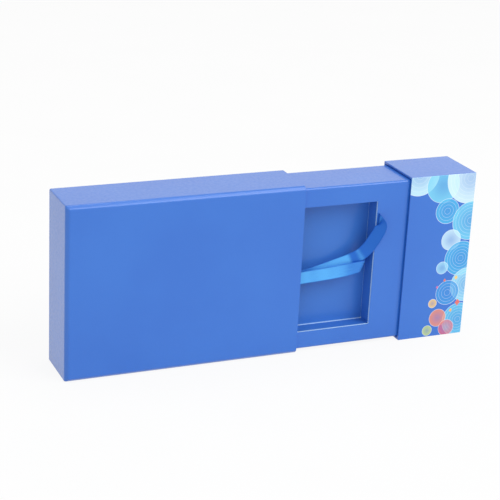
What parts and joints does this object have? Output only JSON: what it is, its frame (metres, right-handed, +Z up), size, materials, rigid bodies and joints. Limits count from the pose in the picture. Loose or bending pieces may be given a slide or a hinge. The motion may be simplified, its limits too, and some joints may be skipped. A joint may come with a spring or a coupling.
{
  "type": "sliding drawer gift box",
  "caption": "Paper-covered board gift box: a flat upright sleeve with a drawer that slides out sideways, a windowed platform over a lined well, a lift ribbon and a printed end cap.",
  "frame": {"origin": "centre of the underside of the sleeve, standing on its long narrow side, with the drawer 92 mm open", "axes": "+X the way that the drawer slides out, -Y the front with the window, +Z up"},
  "size_m": [0.342, 0.053, 0.14],
  "materials": {
    "blue_paper": "smooth covering paper under a thin matt film",
    "lining_paper": "smooth lining paper, matt",
    "printed_paper": "printed covering paper under a thin matt film",
    "greyboard": "raw greyboard, matt",
    "white_card": "white-cored card, matt",
    "satin_ribbon": "woven satin, glossy"
  },
  "bodies": {
    "sleeve": {"sleeve_front_board": "greyboard", "sleeve_back_board": "greyboard", "sleeve_top_board": "greyboard", "sleeve_bottom_board": "greyboard", "sleeve_end_board": "greyboard", "sleeve_wrap": "blue_paper", "sleeve_base_paper": "blue_paper", "sleeve_lining": "lining_paper"},
    "drawer": {"tray_back_board": "greyboard", "tray_top_wall": "greyboard", "tray_bottom_wall": "greyboard", "tray_left_wall": "greyboard", "tray_right_wall": "greyboard", "tray_wrap": "blue_paper", "platform_paper": "blue_paper", "platform_board": "white_card", "recess_wall_top": "white_card", "recess_wall_bottom": "white_card", "recess_wall_left": "white_card", "recess_wall_right": "white_card", "recess_lining": "lining_paper", "recess_floor_paper": "lining_paper", "recess_floor_card": "white_card", "riser_lower": "white_card", "riser_upper": "white_card", "lift_ribbon": "satin_ribbon", "cap_front_board": "greyboard", "cap_back_board": "greyboard", "cap_top_board": "greyboard", "cap_bottom_board": "greyboard", "cap_end_board": "greyboard", "cap_wrap": "printed_paper", "cap_base_paper": "blue_paper"}
  },
  "joints": [
    {"name": "drawer_slide", "type": "slide", "parent": "sleeve", "child": "drawer", "axis": [1, 0, 0], "range_m": [-0.0917, 0.1], "deforming": ["lift_ribbon"]}
  ]
}
